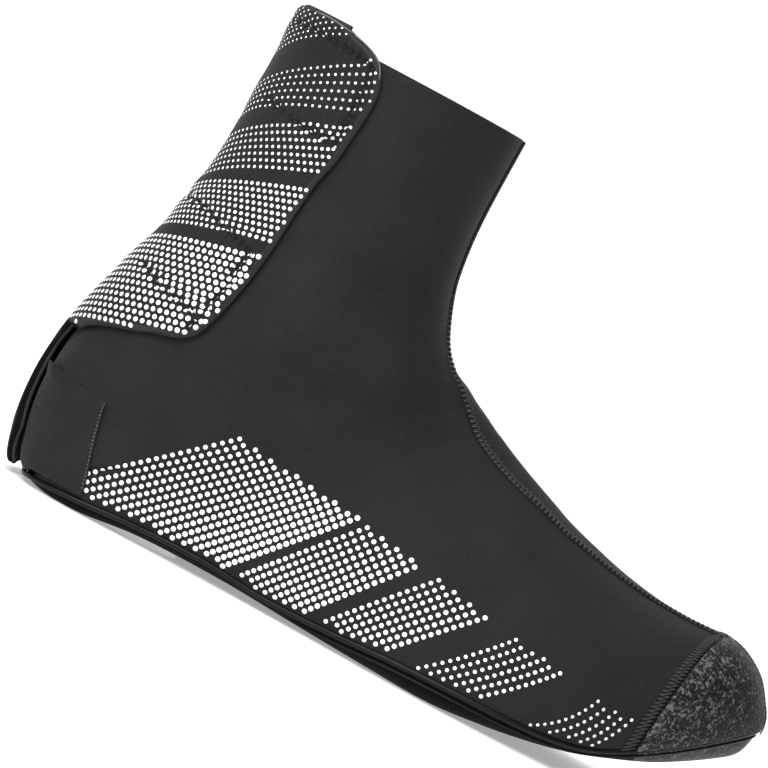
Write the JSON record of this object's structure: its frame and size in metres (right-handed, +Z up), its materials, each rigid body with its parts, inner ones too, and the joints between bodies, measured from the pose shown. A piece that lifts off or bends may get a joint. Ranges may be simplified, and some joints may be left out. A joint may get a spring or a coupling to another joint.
{
  "type": "cycling overshoe",
  "caption": "Ankle-high neoprene cycling overshoe with a wrapped rear closure panel, toe cap and rubberised sole open at the cleat and heel.",
  "frame": {"origin": "on the floor, under the middle of the overshoe's box", "axes": "+X to the toe, +Y to the inner side of the foot, +Z up from the floor to the collar"},
  "size_m": [0.291, 0.1034, 0.1969],
  "materials": {
    "neoprene_jersey": "matt knitted jersey on neoprene foam",
    "printed_neoprene": "matt knitted jersey with a printed pattern of pale dots",
    "rubberised_fabric": "satin rubber coating on woven fabric",
    "piping": "satin bonded piping",
    "toe_cloth": "coarse grained abrasion resistant cloth",
    "seam_thread": "textured thread in a flat zigzag seam",
    "hook_tape": "hook tape"
  },
  "bodies": {
    "root": {"upper": "neoprene_jersey", "sole": "rubberised_fabric", "welt": "piping", "toe_cap": "toe_cloth", "front_seam": "seam_thread", "closure_panel": "printed_neoprene", "heel_panel": "neoprene_jersey", "hook_patch_upper": "hook_tape", "hook_patch_lower": "hook_tape"}
  },
  "joints": []
}
